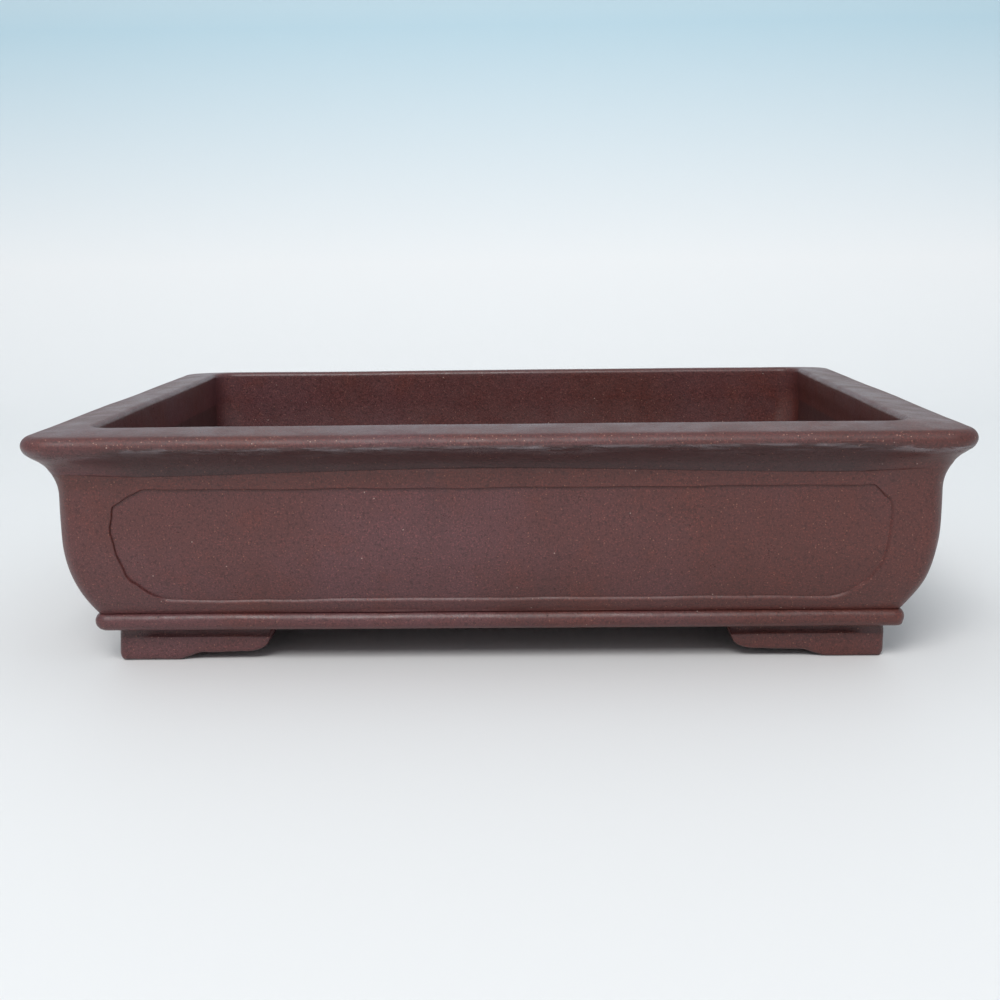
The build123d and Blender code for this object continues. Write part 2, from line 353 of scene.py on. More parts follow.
class Nodes:
    """A new material's nodes, with short ways to add to them."""

    def __init__(self, name):
        self.material = bpy.data.materials.new(name)
        self.material.use_nodes = True
        self.tree = self.material.node_tree
        self.tree.nodes.clear()
        self.where = self.new("ShaderNodeTexCoord").outputs["Object"]

    def new(self, kind):
        """Add a node of the given kind."""
        return self.tree.nodes.new(kind)

    def put(self, value, socket):
        """Link a socket's value, or set a plain number or colour."""
        if isinstance(value, (int, float)):
            socket.default_value = value
        elif isinstance(value, tuple):
            socket.default_value = (*value, 1)
        else:
            self.tree.links.new(value, socket)

    def noise(self, scale, detail=3.0, rough=0.55, squash=(1, 1, 1)):
        """Noise that runs through the clay; a squash under 1 draws it out along that axis."""
        mapping = self.new("ShaderNodeMapping")
        mapping.inputs["Scale"].default_value = squash
        self.put(self.where, mapping.inputs[0])
        texture = self.new("ShaderNodeTexNoise")
        texture.inputs["Scale"].default_value = scale
        texture.inputs["Detail"].default_value = detail
        texture.inputs["Roughness"].default_value = rough
        self.put(mapping.outputs[0], texture.inputs["Vector"])
        return texture.outputs["Fac"]

    def ramp(self, value, low, high, to_low=0.0, to_high=1.0):
        """Smooth rise from to_low at low to to_high at high."""
        node = self.new("ShaderNodeMapRange")
        node.interpolation_type = "SMOOTHSTEP"
        node.inputs["From Min"].default_value = low
        node.inputs["From Max"].default_value = high
        node.inputs["To Min"].default_value = to_low
        node.inputs["To Max"].default_value = to_high
        self.put(value, node.inputs["Value"])
        return node.outputs[0]

    def math(self, kind, a, b):
        """Result of an operation on two sockets or numbers."""
        node = self.new("ShaderNodeMath")
        node.operation = kind
        self.put(a, node.inputs[0])
        self.put(b, node.inputs[1])
        return node.outputs[0]

    def add(self, a, b):
        """Sum of two sockets or numbers."""
        return self.math("ADD", a, b)

    def times(self, a, b):
        """Product of two sockets or numbers."""
        return self.math("MULTIPLY", a, b)

    def blend(self, share, a, b, kind="MIX"):
        """Colour a, with b mixed in (or multiplied in) by the given share."""
        node = self.new("ShaderNodeMix")
        node.data_type = "RGBA"
        node.blend_type = kind
        self.put(share, node.inputs["Factor"])
        self.put(a, node.inputs["A"])
        self.put(b, node.inputs["B"])
        return node.outputs["Result"]

    def grit(self, scale, share, size):
        """Round specks: a share of the cells of a Voronoi pattern, each with a speck at its middle."""
        cells = self.new("ShaderNodeTexVoronoi")
        cells.inputs["Scale"].default_value = scale
        self.put(self.where, cells.inputs["Vector"])
        pick = self.new("ShaderNodeSeparateColor")
        self.put(cells.outputs["Color"], pick.inputs[0])
        chosen = self.math("LESS_THAN", pick.outputs[0], share)
        return self.times(chosen, self.ramp(cells.outputs["Distance"], size, size * 0.45))


def clay_colour(n, painted_shade, ruddy_and_lip_shade, grain):
    """Mottled dark red clay, purple in places, with a sandy grain; painted shade darkens it where the tint
    asks, and it is painted redder and darker towards the right end.
    """
    purple, red = (0.095, 0.034, 0.037), (0.081, 0.022, 0.018)
    warm_mottle, grey_mottle = (0.110, 0.026, 0.018), (0.064, 0.022, 0.023)
    shade_clay = (0.047, 0.018, 0.018)
    split = n.new("ShaderNodeSeparateXYZ")
    n.put(n.where, split.inputs[0])
    # Painted shade: the clay turns redder and darker towards the right end, away from the light on the left
    right_end_shade = n.ramp(split.outputs["X"], -0.05, 0.2, 0, 0.6)
    redder_and_shaded = n.add(n.ramp(n.noise(9, 4), 0.36, 0.66, 0, 0.7), right_end_shade)
    # The tint's alpha adds the border's redder tone, and painted shade in the band under the lip
    redder_and_shaded = n.add(redder_and_shaded, n.times(ruddy_and_lip_shade, 0.3))
    colour = n.blend(n.math("MINIMUM", redder_and_shaded, 1.0), purple, red)
    colour = n.blend(n.ramp(n.noise(34, 5, 0.6), 0.5, 0.75, 0, 0.5), colour, warm_mottle)
    streaky = n.noise(23, 4, 0.6, (1, 1, 0.35))
    colour = n.blend(n.ramp(streaky, 0.52, 0.75, 0, 0.45), colour, grey_mottle)
    # Painted shade: the tint's first channel darkens the clay in the lip's hollow, the window's creases, the
    # inner side walls and the feet's necks
    colour = n.blend(painted_shade, colour, shade_clay)
    lighter = n.blend(1.0, colour, (1.9, 1.75, 1.65), "MULTIPLY")
    darker = n.blend(1.0, colour, (0.42, 0.40, 0.40), "MULTIPLY")
    colour = n.blend(n.ramp(grain, 0.50, 0.70), colour, lighter)
    return n.blend(n.ramp(n.noise(700, 3, 0.7), 0.50, 0.34, 0, 0.7), colour, darker)


def clay_material():
    """Unglazed dark red clay: mottling, sandy grain, pale and orange grit, smeared areas, painted shade, and
    edge grit that also paints highlights on lit edges.
    """
    n = Nodes("fired_clay")
    tint = n.new("ShaderNodeAttribute")
    tint.attribute_name = "tint"
    part = n.new("ShaderNodeSeparateColor")
    n.put(tint.outputs["Color"], part.inputs[0])
    painted_shade, smeared, wear_and_highlight = part.outputs[0], part.outputs[1], part.outputs[2]
    ruddy_and_lip_shade = tint.outputs["Alpha"]

    grain = n.noise(1150, 2, 0.75)
    orange = n.grit(620, 0.08, 0.28)
    pale = n.grit(400, 0.010, 0.20)
    dark = n.grit(420, 0.03, 0.22)
    # Edge grit, lighter than the clay, also paints highlights along lit edges
    edge_grit_and_highlight = n.times(n.grit(560, 0.30, 0.26), n.times(wear_and_highlight, 0.8))
    smear = n.times(n.ramp(n.noise(150, 6, 0.78, (0.16, 0.16, 1.7)), 0.49, 0.58), smeared)

    colour = clay_colour(n, painted_shade, ruddy_and_lip_shade, grain)
    colour = n.blend(n.times(orange, 0.6), colour, (0.32, 0.13, 0.08))
    colour = n.blend(n.times(pale, 0.7), colour, (0.45, 0.32, 0.27))
    colour = n.blend(n.times(dark, 0.6), colour, (0.025, 0.016, 0.016))
    colour = n.blend(edge_grit_and_highlight, colour, (0.38, 0.20, 0.15))
    colour = n.blend(n.times(smear, 0.85), colour, (0.33, 0.30, 0.32))

    patches = n.ramp(n.noise(55, 4), 0.3, 0.7, 0.31, 0.42)
    roughness = n.add(patches, n.ramp(grain, 0.3, 0.7, -0.05, 0.08))
    roughness = n.math("SUBTRACT", roughness, n.times(smear, 0.25))
    roughness = n.add(roughness, n.times(wear_and_highlight, 0.14))

    height = n.add(n.times(grain, 0.5), n.times(n.noise(420, 3, 0.6), 0.9))
    height = n.add(height, n.times(n.add(orange, pale), 0.5))
    height = n.math("SUBTRACT", height, n.times(dark, 1.2))
    height = n.add(height, n.times(smear, 2.5))
    bump = n.new("ShaderNodeBump")
    bump.inputs["Strength"].default_value = 0.5
    bump.inputs["Distance"].default_value = 0.35 * MM
    n.put(height, bump.inputs["Height"])

    shader = n.new("ShaderNodeBsdfPrincipled")
    shader.inputs["IOR"].default_value = 1.5
    shader.inputs["Specular IOR Level"].default_value = 0.5
    n.put(colour, shader.inputs["Base Color"])
    n.put(roughness, shader.inputs["Roughness"])
    n.put(bump.outputs[0], shader.inputs["Normal"])
    n.put(shader.outputs[0], n.new("ShaderNodeOutputMaterial").inputs[0])
    return n.material


CLAY = clay_material()


# ---- lips -------------------------------------------------------------------------------------------


def lip_hollow(seam, arris_z, cut):
    """Rows of the hollow under the lip: cut deep between the corners, following the flare at them."""
    t = np.linspace(0, 1, HOLLOW_ROWS)[:, None]
    height = seam + (arris_z - seam) * t
    foot = NECK_INSET + 0.3 * MM
    deep = foot - (foot - edge_inset(arris_z)) * (0.6 * t + 0.4 * t * t)
    shallow = flare_inset(height) + 0.1 * MM * (1 - t)
    return cut * deep + (1 - cut) * shallow, height


def lip_above_arris(arris_z):
    """Rows of the rounded edge, the top that rises inwards, the rounded crest and the inner face."""
    low_z = arris_z + (EDGE_Z - arris_z) * np.linspace(0, 1, LOW_EDGE_ROWS + 1)[1:, None]
    nose = arc_points((EDGE_TOP_R, EDGE_Z), EDGE_TOP_R, 180, 98, NOSE_ROWS + 1)[1:]
    climb = np.linspace(0.06, 1, SLOPE_ROWS)
    slope_inset = nose[-1][0] + (CREST_INSET - nose[-1][0]) * climb
    slope_z = HEIGHT - (HEIGHT - EDGE_TOP_Z) * (1 - climb) ** 1.4
    round_over = arc_points((INNER_INSET - CREST_R, HEIGHT - CREST_R), CREST_R, 90, 0, 9)
    inside = [(INNER_INSET, z) for z in np.linspace(HEIGHT - CREST_R, WALL_TOP, 10)[1:]]
    section = [*nose, *zip(slope_inset, slope_z), *round_over, *inside]
    inset, height = grid(section, arris_z.shape[1])
    return np.vstack([edge_inset(low_z), inset]), np.vstack([low_z, height])


def lip_radius(inset):
    """Corner radius of each row: the outside's up to the edge, turning into the inside's by the crest."""
    rim = inner_radius(np.full_like(inset, WALL_TOP)) + INNER_INSET - inset
    row = np.arange(len(inset))[:, None]
    share = np.clip((row - SLOPE_ROW + 1) / SLOPE_ROWS, 0, 1)
    return outer_radius(inset) * (1 - share) + rim * share


def soften(inset, height, first, last, weight):
    """Round the profile off between two rows, in place."""
    for _ in range(6):
        for values in (inset, height):
            middle = (values[first - 1:last - 1] + values[first + 1:last + 1]) / 2
            values[first:last] += weight * (middle - values[first:last])


def roughen_lip(inset, height, points, cut):
    """Rows with a ragged arris and a gently uneven edge and top, and where the arris is most ragged."""
    row = np.arange(len(inset))[:, None]
    level = points * ALONG_ONLY
    patchy = smooth(BROAD(level), -0.9, 0.5)
    ragged = np.clip(0.7 * THUMB(level) + 0.8 * CHATTER(points * LONG_GRAIN), -0.5, 1.8)
    arris = bell(row, ARRIS_ROW, 2.6) * (0.15 + 0.85 * cut) * 0.6 * MM
    outside = smooth(row, 2, 6) * (1 - smooth(row, CREST_ROW - 6, CREST_ROW))
    inset = inset + arris * (0.2 + 0.8 * patchy) * ragged
    inset = inset + outside * (SKIN + 0.08 * MM * PALM(level))
    height = height + arris * (THUMB(level + 0.5) + 0.4 * CHATTER(level)) * (0.3 + patchy)
    height = height - (height > EDGE_Z) * (SKIN + 0.12 * MM * BROAD(level + 0.4))
    return np.maximum(inset, 0.05 * MM), height, patchy


def build_lip(side):
    """Lip strip: tooled hollow, ragged arris, rounded edge, top rising inwards, rounded inner rim."""
    stations = columns(side, 1.6 * MM)
    edge_line = np.zeros((1, len(stations)))
    along = along_side(side, stations, edge_line, outer_radius(edge_line))
    cut = tooled(side, along)
    seam = seam_height(side, along)
    arris_z = ARRIS_Z + ARRIS_RISE * cut
    hollow_inset, hollow_z = lip_hollow(seam, arris_z, cut)
    upper_inset, upper_z = lip_above_arris(arris_z)
    # The first row is tucked behind the wall's top, so that no gap shows at the seam
    inset = np.vstack([hollow_inset[:1] + 1.2 * MM, hollow_inset, upper_inset])
    height = np.vstack([seam - 1.0 * MM, hollow_z, upper_z])
    radius = lip_radius(inset)
    soften(inset, height, ARRIS_ROW - 5, ARRIS_ROW + 5, 0.25 + 0.75 * (1 - cut))
    points = place_stations(side, stations, inset, height, radius)
    inset, height, patchy = roughen_lip(inset, height, points, cut)
    points = place_stations(side, stations, inset, height, radius)

    row = np.arange(len(inset))[:, None]
    # Painted shade over the hollow under the lip and the low edge, strongest where the tool cut deep and
    # fading in from the seam at the corners
    shade_from_seam = cut + (1 - cut) * smooth(row, 1, 10)
    painted_shade = (1 - smooth(row, ARRIS_ROW, ARRIS_ROW + 10)) * (0.35 + 0.65 * cut) * shade_from_seam
    smeared = bell(row, ARRIS_ROW + 1, 4.0) * (0.3 + 0.7 * patchy) * (0.5 + 0.5 * cut)
    # Edge grit with painted highlight along the lip's rounded nose
    wear_and_highlight = bell(row, ARRIS_ROW + 11, 4.5)
    tint = tint_layers(points, painted_shade, smeared, wear_and_highlight)
    finish_piece(swept(f"{side}_lip_clay", points, tint, [0, 1, len(inset) - 1]), f"{side}_lip")


# ---- walls and borders ------------------------------------------------------------------------------


def away_from_corners(side, along):
    """1 along the straight of an inside face, fading to 0 where the corner coils take over."""
    return 1 - smooth(np.abs(along), HALF[side] - 110 * MM, HALF[side] - 75 * MM)


def build_wall(side):
    """Wall slab: the sunken panel shows on its outer face and the potting space on its inner face."""
    stations = columns(side, 4 * MM)
    outer = [(wall_inset(z) + BORDER_T, z) for z in WALL_LEVELS]
    inner = [(inner_inset(z), z) for z in WALL_LEVELS[::-1]]
    inset, height = grid(outer + inner, len(stations))
    n = len(outer)
    inside = np.arange(2 * n)[:, None] >= n
    radius = np.where(inside, 1.0 * MM, outer_radius(inset - BORDER_T))
    along = along_side(side, stations, inset, radius)
    inset = np.where(inside, inset, border_inset(side, along, height) + BORDER_T)
    points = place(side, along, inset, height, radius)
    sag = np.sin(np.pi * (height - FLOOR_TOP) / (WALL_TOP - FLOOR_TOP))
    rough = np.where(inside, sag * away_from_corners(side, along), 1.0)
    inset = inset + rough * (0.12 * MM * PALM(points) + 0.2 * MM * BROAD(points))
    points = place_stations(side, stations, inset, height, radius)
    # Painted shade on the inner faces: dark on the side walls, faint on the end walls
    shaded = 1.0 if side in ("left", "right") else 0.1
    tint = tint_layers(points, painted_shade=inside * shaded)
    finish_piece(swept(f"{side}_wall_clay", points, tint, [0, n - 1, n, 2 * n - 1]), f"{side}_wall")


def resampled(loop, count):
    """Evenly spaced points round a closed loop, with its corners eased."""
    following = np.roll(loop, -1, 0)
    lengths = np.linalg.norm(following - loop, axis=1)
    ends = np.cumsum(lengths)
    distance = np.linspace(0, ends[-1], count, endpoint=False)
    k = np.searchsorted(ends, distance, side="right")
    t = (distance - (ends[k] - lengths[k])) / lengths[k]
    outline = loop[k] + (following[k] - loop[k]) * t[:, None]
    for _ in range(9):
        outline = 0.25 * np.roll(outline, 1, 0) + 0.5 * outline + 0.25 * np.roll(outline, -1, 0)
    return outline


def window_outline(side):
    """Outline (along, height) of a border's window, and its corner points' indices from lower right."""
    half = HALF[side] - WINDOW_END
    heel, shoulder = WINDOW_LOW + 13 * MM, WINDOW_TOP - 8.5 * MM
    t = np.linspace(0, 1, 9)
    droop = 0.8 * MM * (2 * t - 1.35) ** 2 + 4.2 * MM * (np.maximum(0.6 - t, 0) / 0.6) ** 2
    bulging_end = zip(half + 8.7 * MM - droop, heel + (shoulder - heel) * t)
    right = [(0, WINDOW_LOW), (half - 15 * MM, WINDOW_LOW), (half - 9 * MM, WINDOW_LOW + 2.2 * MM)]
    right += [*bulging_end, (half + 0.5 * MM, WINDOW_TOP), (0, WINDOW_TOP)]
    left = [(-x, z) for x, z in right[-2:0:-1]]
    # The upper left corner is cut longer than the right one
    left[0] = (left[0][0] + 8 * MM, WINDOW_TOP)
    outline = resampled(np.array(right + left), WINDOW_POINTS)
    marks = [(half - 1 * MM, WINDOW_LOW + 6 * MM), (half + 5 * MM, WINDOW_TOP - 5 * MM)]
    marks += [(-x, z) for x, z in reversed(marks)]
    corners = [int(np.argmin(np.linalg.norm(outline - mark, axis=1))) for mark in marks]
    return outline, corners


def border_edge(side, corners):
    """Outer edge (along, height) of the border: one point for each point of its window's outline."""
    targets = np.array([(1, FLOOR_TOP), (1, WALL_TOP), (-1, WALL_TOP), (-1, FLOOR_TOP)])
    edge = np.empty((WINDOW_POINTS, 2))
    for k in range(4):
        following = (k + 1) % 4
        steps = (corners[following] - corners[k]) % WINDOW_POINTS + 1
        index = (corners[k] + np.arange(steps)) % WINDOW_POINTS
        share, z = np.linspace(targets[k], targets[following], steps).T
        inset = wall_inset(z)
        reach = HALF[side] - inset - outer_radius(inset) * (1 - math.pi / 4)
        edge[index] = np.stack([share * reach, z], 1)
    is_top = edge[:, 1] > WALL_TOP - 0.01 * MM
    edge[is_top, 1] = seam_height(side, edge[is_top, 0])
    return edge


def outward_from(outline):
    """Unit directions away from a window's middle, square to its outline."""
    step = np.roll(outline, -1, 0) - np.roll(outline, 1, 0)
    return np.stack([step[:, 1], -step[:, 0]], 1) / np.linalg.norm(step, axis=1)[:, None]


def window_edge(side, outline, outward):
    """Hand-cut outline, and how steep and how torn its edge is at each point."""
    along, z = outline.T
    half = HALF[side]
    upper = smooth(z, 90 * MM, 99 * MM)
    leftward = smooth(-along, half - 75 * MM, half - 60 * MM)
    ends = smooth(np.abs(along), half - 70 * MM, half - 55 * MM)
    spots = np.stack([along, np.zeros(WINDOW_POINTS), z], 1)
    torn = 0.7 * ends * smooth(THUMB(spots) + 0.5 * PALM(spots + 0.3), 0.2, 1.2)
    # The upper left end is torn all the way along
    torn = np.maximum(torn, 0.8 * ends * (along < 0) * (z > 70 * MM))
    nudge = 0.2 * MM * PALM(spots) + ends * (0.3 * MM * THUMB(spots + 0.1) + 0.12 * MM * CHATTER(spots))
    return outline + outward * nudge[:, None], np.maximum(upper, leftward), torn


def border_rows(outline, outward, edge, steep, torn):
    """Rows over the border's face, down round its window's edge, and back to its outer edge behind.

    Each row is its points on the wall's face, their depth behind the border's face, and its painted shade at
    the window's edge.
    """
    round_r = (3.0 - 2.1 * steep) * MM
    start = outline + outward * round_r[:, None]
    deep = BORDER_T + 0.2 * MM
    none = np.zeros(len(outline))
    shares = [*np.linspace(1, 0.15, 18), 0.08, 0.04, 0.015, 0]
    rows = [(start * (1 - t) + edge * t, none, none) for t in shares]
    # Painted shade deepens down round the torn parts of the edge and is darkest in the crack row
    for turn in np.radians(np.linspace(12, 90, 8)):
        t = 2 * turn / math.pi
        across = steep * math.sin(turn) + (1 - steep) * t
        down = steep * (1 - math.cos(turn)) + (1 - steep) * t**2 * (3 - 2 * t)
        spots = outline + outward * (round_r * (1 - across))[:, None]
        rows.append((spots, deep * down, 0.6 * torn * (1 - math.cos(turn)) ** 2))
    crack = outline + outward * (1.1 * MM * torn)[:, None]
    rows.append((crack, deep + 0.7 * MM * torn, np.clip(torn - 0.1, 0, 1)))
    behind = none + BORDER_T
    rows.append((start * 0.7 + edge * 0.3, behind + 0.9 * MM, none))
    rows.append((edge, behind - 0.05 * MM, none))
    return rows


def build_border(side):
    """Raised border: a thin skin of clay round a window, whose edge is soft below and crisp above."""
    outline, corners = window_outline(side)
    outward = outward_from(outline)
    outline, steep, torn = window_edge(side, outline, outward)
    rows = border_rows(outline, outward, border_edge(side, corners), steep, torn)
    flat, depth, crease_shade = (np.array(layer) for layer in zip(*rows))
    along, z = flat[..., 0], flat[..., 1]
    inset = border_inset(side, along, z)
    radius = outer_radius(wall_inset(np.minimum(z, WALL_TOP)))
    points = place(side, along, inset, z, radius)
    row = np.arange(len(rows))[:, None]
    free = smooth(row, 0, 5) * (row < len(rows) - 1)
    inset = inset + depth + 0.1 * MM + free * 0.1 * MM * PALM(points)
    inset = inset + free * 0.15 * MM * (1 + BROAD(points))
    points = place(side, along, inset, z, radius)

    rounded_row = 24
    # Edge grit over the border, with painted highlight along the window's lower ledge
    wear_and_highlight = 0.15 + 0.5 * bell(row, rounded_row, 2.5) * (z < 60 * MM)
    # Border clay a little redder, and painted redder and darker in the band just under the lip as the lip's
    # shade
    ruddy_and_lip_shade = 1 + 1.8 * smooth(z, 97 * MM, 104 * MM)
    tint = tint_layers(points, painted_shade=crease_shade, wear_and_highlight=wear_and_highlight, ruddy_and_lip_shade=ruddy_and_lip_shade)
    finish_piece(framed(f"{side}_border_clay", points, tint, [0, len(rows) - 1]), f"{side}_border")


# ---- belt, coils and feet ---------------------------------------------------------------------------


def build_belt(side):
    """Half-round strip pressed over the joint between floor and wall."""
    stations = columns(side, 2.5 * MM)
    half_h = (FLOOR_TOP - FOOT_H) / 2
    bulge_r = (half_h**2 + BELT_BULGE**2) / (2 * BELT_BULGE)
    spread = math.degrees(math.asin(half_h / bulge_r))
    centre = (BELT_INSET - BELT_BULGE + bulge_r, FOOT_H + half_h)
    section = arc_points(centre, bulge_r, 180 + spread, 180 - spread, BELT_ROWS)
    back_inset = BELT_INSET + 1 * MM
    section += [(back_inset, FLOOR_TOP - 0.5 * MM), (back_inset, FOOT_H + 0.5 * MM)]
    inset, height = grid(section, len(stations))
    radius = np.maximum(3 * MM + BELT_INSET - inset, 1.5 * MM)
    points = place_stations(side, stations, inset, height, radius)
    row = np.arange(len(inset))[:, None]
    shown = row < BELT_ROWS
    inset = inset + shown * (0.1 * MM * (1.1 + PALM(points)) + 0.04 * MM * THUMB(points))
    across = np.sin(np.linspace(0, math.pi, len(inset)))[:, None]
    height = height + 0.2 * MM * BROAD(points * ALONG_ONLY + 0.2) * across
    points = place_stations(side, stations, inset, height, radius)
    # Edge grit with painted highlight along the belt's upper curve
    tint = tint_layers(points, wear_and_highlight=0.3 * bell(row, 11, 3.0))
    finish_piece(swept(f"{side}_belt_clay", points, tint), f"{side}_belt")


def build_corner_coil(end, hand):
    """Coil smeared into an upright inner corner: a hollow quarter-round that fades into the walls."""
    sx = -1 if hand == "left" else 1
    sy = -1 if end == "front" else 1
    turns = np.linspace(0, math.pi / 2, 31)
    rings = []
    for z in WALL_LEVELS:
        inset = float(inner_inset(z))
        r = float(inner_radius(z))
        ring = [(inset + r - r * math.sin(a), inset + r - r * math.cos(a)) for a in turns]
        ring.append((inset - 0.5 * MM, inset - 0.5 * MM))
        rings.append([(sx * (HIGH.x - x), sy * (HIGH.y - y), z) for x, y in ring])
    points = np.array(rings)
    inward = np.array([-sx, -sy, 0]) / math.sqrt(2)
    sag = np.sin(np.pi * (points[..., 2] - FLOOR_TOP) / (WALL_TOP - FLOOR_TOP))
    push = 0.3 * MM * PALM(points) * sag * np.sin(2 * np.append(turns, 0)) ** 2
    points = lean(points + inward * push[..., None])
    crisp = [0, len(turns) - 1, len(turns)]
    # In two of the corners the ring runs the other way round, so it is turned to face outwards
    if sx * sy < 0:
        points = points[:, ::-1]
        crisp = [len(turns) - r for r in crisp]
    piece = swept(f"corner_coil_{end}_{hand}_clay", points.transpose(1, 0, 2), None, crisp)
    finish_piece(piece, f"corner_coil_{end}_{hand}")


def build_floor_coil(side):
    """Coil smeared along the joint between floor and wall."""
    stations = columns(side, 4 * MM)
    rise = 9 * MM
    tilt = math.atan2(float(inner_inset(FLOOR_TOP) - inner_inset(FLOOR_TOP + rise)), rise)
    reach = COIL_R / math.tan((math.pi / 2 + tilt) / 2)
    centre = (FLOOR_INSET + reach, FLOOR_TOP + COIL_R)
    section = arc_points(centre, COIL_R, 270, 180 - math.degrees(tilt), 12)
    section.append((FLOOR_INSET + 0.5 * MM, FLOOR_TOP + 0.01 * MM))
    inset, height = grid(section, len(stations))
    radius = inner_radius(FLOOR_TOP) - (inset - FLOOR_INSET)
    points = place_stations(side, stations, inset, height, radius)
    finish_piece(swept(f"floor_coil_{side}_clay", points), f"floor_coil_{side}")


def foot_underside(u, length):
    """Height of a foot's cloud-shaped lower edge, u metres in from the pot's corner."""
    pad = 0.38 * length
    toe = length - 17 * MM
    arch_run, curl_run, throat_run, heel_run = 15 * MM, 13.5 * MM, 3.5 * MM, 3.4 * MM
    rise = 3.9 * MM * np.sin(np.clip((u - pad) / arch_run, 0, 1) * math.pi / 2) ** 1.3
    arch = rise + 0.4 * MM * smooth(u, pad + arch_run, toe)
    t = np.clip((u - toe) / curl_run, 0, 1)
    curl = 6.7 * MM * (1 - np.sqrt(1 - t**2 * 0.998))
    throat = np.clip((u - toe - curl_run) / throat_run, 0, 1) * (FOOT_H - 11 * MM)
    heel = 2.0 * MM * np.clip(1 - u / heel_run, 0, 1) ** 2
    return arch + curl + throat + heel


def foot_section():
    """Cross-section of a foot's arm: depths behind the face, and levels.

    A level runs from 0 at the underside through 1 at the shoulder to 2 at the top.
    """
    heel = [(2.6 * MM, 0.0), (1.3 * MM, 0.04), (0.55 * MM, 0.11), (0.15 * MM, 0.21)]
    face = [(0, 0.34), (0, 0.55), (0, 0.75), (0.02 * MM, 0.93)]
    shoulder = [(0.12 * MM, 1.0), (0.5 * MM, 1.06), (1.1 * MM, 1.18)]
    neck = [(1.8 * MM, 1.4), (2.3 * MM, 1.7), (2.4 * MM, 2.0)]
    back = [(FOOT_THICK, 2.0), (FOOT_THICK, 1.3), (FOOT_THICK, 0.6), (FOOT_THICK, 0.12)]
    back += [(FOOT_THICK - 0.8 * MM, 0.02), (FOOT_THICK - 2 * MM, 0.0)]
    under = [(FOOT_THICK * share, 0.0) for share in (0.7, 0.4, 0.2)]
    section = np.array(heel + face + shoulder + neck + back + under)
    return section[:, :1], section[:, 1:]


def foot_arm(side, sign, depth, level):
    """World points of one arm of a foot, from the pot's corner to the arm's toe."""
    size = FOOT_HIGH - FOOT_LOW
    length = size.x if side in ("front", "back") else size.y
    straight = np.concatenate([np.linspace(0, 0.9, 50), np.linspace(0.9, 1, 22)[1:]])
    turn = np.concatenate([np.linspace(math.pi / 4, 0, 7)[:-1], np.zeros(len(straight))])
    s = np.concatenate([np.zeros(len(turn) - len(straight)), straight])
    radius = np.maximum(4 * MM - depth, 0.8 * MM) + 0 * s
    inset = FOOT_INSET + depth + 0 * s
    toe = HALF[side] - FOOT_INSET - length + 0.4 * MM
    reach = (HALF[side] - inset - radius) * (1 - s) + toe * s
    u = HALF[side] - FOOT_INSET - reach
    bottom = np.minimum(foot_underside(u, length), FOOT_H - 0.5 * MM)
    corner = 1 - smooth(u, 4 * MM, 22 * MM)
    dip = 1.2 * MM * corner + 0.3 * MM * smooth(u, 60 * MM, 80 * MM)
    shoulder = np.maximum(FOOT_NECK_Z - dip, bottom + 0.6 * MM)
    shoulder = np.minimum(shoulder, FOOT_H - 0.2 * MM)
    height = bottom + (shoulder - bottom) * np.minimum(level, 1)
    height = height + (FOOT_H - shoulder) * np.clip(level - 1, 0, 1)
    shown = depth < 3 * MM
    inset = inset - (level > 1.0) * shown * depth * 0.75 * corner
    along = sign * (reach + radius * turn)
    spots = place(side, along, inset, height, radius)
    soft = (level > 0.05) * (level < 1.95) * shown
    inset = inset + soft * (0.15 * MM * (1 + PALM(spots)) + 0.08 * MM * THUMB(spots))
    height = height + (level < 0.05) * 0.12 * MM * np.abs(THUMB(spots * LEVEL_ONLY))
    return place(side, along, inset, height, radius)


def build_foot(end, hand):
    """L-shaped bracket foot: cloud-shaped lower edge, crisp shoulder, and a hollowed neck above it."""
    (side_a, sign_a), (side_b, sign_b) = {
        ("front", "left"): (("front", -1), ("left", 1)),
        ("front", "right"): (("right", -1), ("front", 1)),
        ("back", "left"): (("left", -1), ("back", 1)),
        ("back", "right"): (("back", -1), ("right", 1)),
    }[end, hand]
    depth, level = foot_section()
    arm_a = foot_arm(side_a, sign_a, depth, level)
    arm_b = foot_arm(side_b, sign_b, depth, level)
    # Both arms start at the corner, so one is reversed and the shared column is kept once
    points = np.concatenate([arm_a[:, ::-1], arm_b[:, 1:]], axis=1)
    shown = depth < 3 * MM
    # Painted shade on the foot's neck, under the belt
    painted_shade = 0.55 * (level > 1.1) * shown
    # Edge grit with painted highlight along the foot's shoulder
    tint = tint_layers(points, painted_shade=painted_shade, wear_and_highlight=0.8 * bell(level, 1.0, 0.12) * shown)
    finish_piece(swept(f"foot_{end}_{hand}_clay", points, tint), f"foot_{end}_{hand}")


for side in HALF:
    build_lip(side)
    build_wall(side)
    build_border(side)
    build_belt(side)
    build_floor_coil(side)
for end in ("front", "back"):
    for hand in ("left", "right"):
        build_corner_coil(end, hand)
        build_foot(end, hand)

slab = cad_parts["floor_slab"]
slab.data.materials.clear()
slab.data.materials.append(CLAY)


# ---- studio -----------------------------------------------------------------------------------------


def height_fade(tree, coordinates, stops):
    """Colour that fades through (height, colour) stops."""
    coords = tree.nodes.new("ShaderNodeTexCoord")
    split = tree.nodes.new("ShaderNodeSeparateXYZ")
    fade = tree.nodes.new("ShaderNodeValToRGB")
    elements = fade.color_ramp.elements
    first, *middle, last = stops
    for element, (position, colour) in zip(elements, (first, last)):
        element.position = position
        element.color = (*colour, 1)
    for position, colour in middle:
        elements.new(position).color = (*colour, 1)
    tree.links.new(coords.outputs[coordinates], split.inputs[0])
    tree.links.new(split.outputs["Z"], fade.inputs[0])
    return fade.outputs[0]


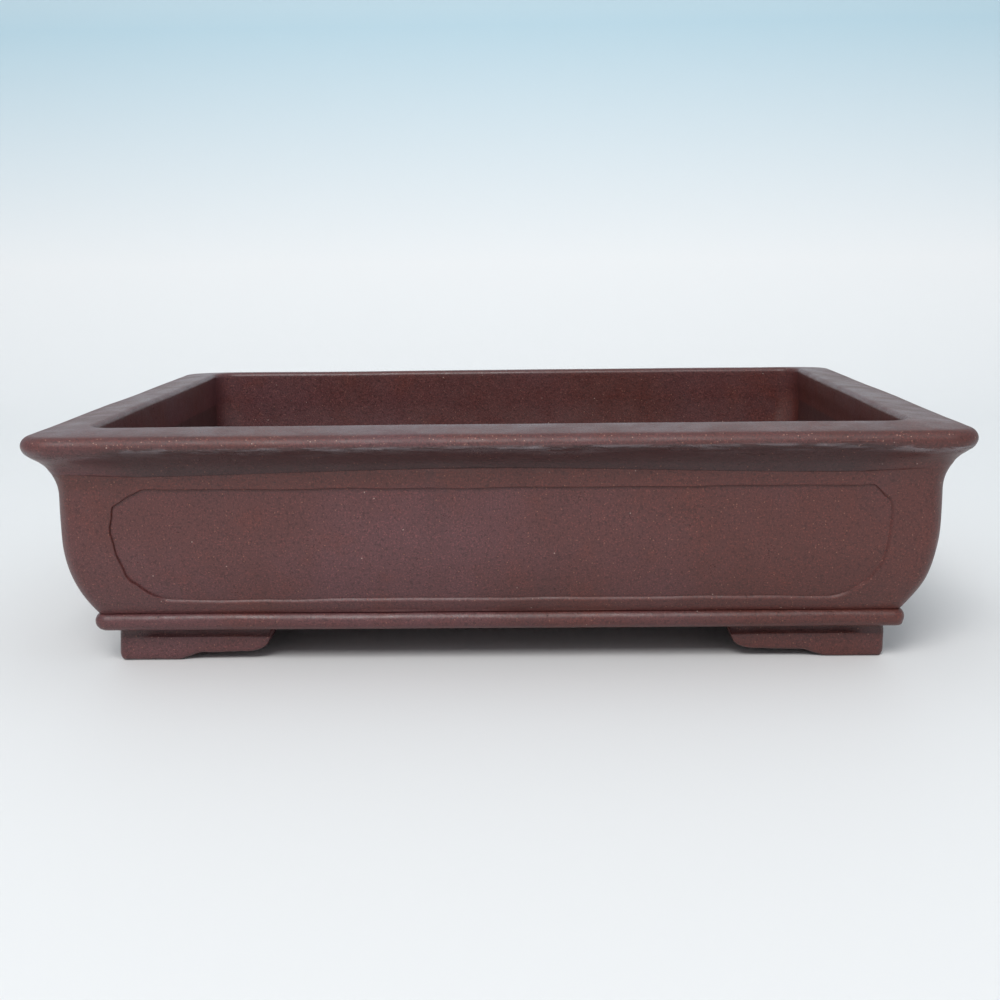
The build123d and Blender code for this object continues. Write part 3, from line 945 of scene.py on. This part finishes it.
def build_stage():
    """Pale floor that sweeps up into a backdrop, with a faint cool band some way up."""
    mat = bpy.data.materials.new("studio_paper")
    mat.use_nodes = True
    tree = mat.node_tree
    shader = tree.nodes["Principled BSDF"]
    shader.inputs["Roughness"].default_value = 0.6
    stops = [(0.2, (0.81, 0.81, 0.81)), (0.62, (0.44, 0.60, 0.68)), (1.0, (0.66, 0.68, 0.69))]
    tree.links.new(height_fade(tree, "Object", stops), shader.inputs["Base Color"])
    half_width, near, bend_start, bend_r, top = 6.0, -6.0, 0.9, 0.9, 3.5
    sweep = [(near, 0.0), (bend_start, 0.0)]
    for a in np.linspace(0.1, math.pi / 2, 16):
        sweep.append((bend_start + bend_r * math.sin(a), bend_r - bend_r * math.cos(a)))
    sweep.append((bend_start + bend_r, top))
    points = np.array([(x, y, z) for y, z in sweep for x in (-half_width, half_width)])
    faces = [(2 * i, 2 * i + 1, 2 * i + 3, 2 * i + 2) for i in range(len(sweep) - 1)]
    floor = mesh_object("studio_floor", points, faces)
    floor.data.materials.append(mat)


def area_light(name, location, target, size, power, colour, spread=180):
    """Square soft light aimed at a point."""
    light = bpy.data.lights.new(name, "AREA")
    light.energy = power
    light.color = colour
    light.size = size
    light.spread = math.radians(spread)
    obj = bpy.data.objects.new(name, light)
    obj.location = location
    obj.rotation_euler = (Vector(target) - Vector(location)).to_track_quat("-Z", "Y").to_euler()
    bpy.context.collection.objects.link(obj)


def build_world():
    """Cloudy sky, dimmer round the horizon, so that hollows and upright faces stay dark."""
    world = bpy.data.worlds.new("sky")
    world.use_nodes = True
    tree = world.node_tree
    stops = [(0.05, (0.45, 0.48, 0.51)), (0.75, (0.66, 0.71, 0.75))]
    tree.links.new(height_fade(tree, "Generated", stops), tree.nodes["Background"].inputs["Color"])
    tree.nodes["Background"].inputs["Strength"].default_value = 1.0
    bpy.context.scene.world = world


def build_camera():
    """Camera a little above the rim, nearly square to the front face."""
    place_at = (0.0162, -0.9084, 0.2238)
    pitch, yaw, roll = (math.radians(angle) for angle in (10.156, 1.151, -0.671))
    data = bpy.data.cameras.new("camera")
    data.sensor_width = 36.0
    data.lens = 50.78
    camera = bpy.data.objects.new("camera", data)
    turn = Matrix.Rotation(yaw, 4, "Z") @ Matrix.Rotation(math.pi / 2 - pitch, 4, "X")
    camera.matrix_world = Matrix.Translation(place_at) @ turn @ Matrix.Rotation(roll, 4, "Z")
    bpy.context.collection.objects.link(camera)
    bpy.context.scene.camera = camera


bpy.context.scene.view_settings.view_transform = "Standard"
build_stage()
build_world()
area_light("key", (-0.62, -3.1, 3.25), (0, 0, 0.05), 1.9, 120, (1.0, 0.985, 0.97))
area_light("backdrop_wash", (0.2, 0.4, 2.6), (0.2, 1.9, 0.2), 1.6, 2, (1.0, 1.0, 1.0), 80)
build_camera()
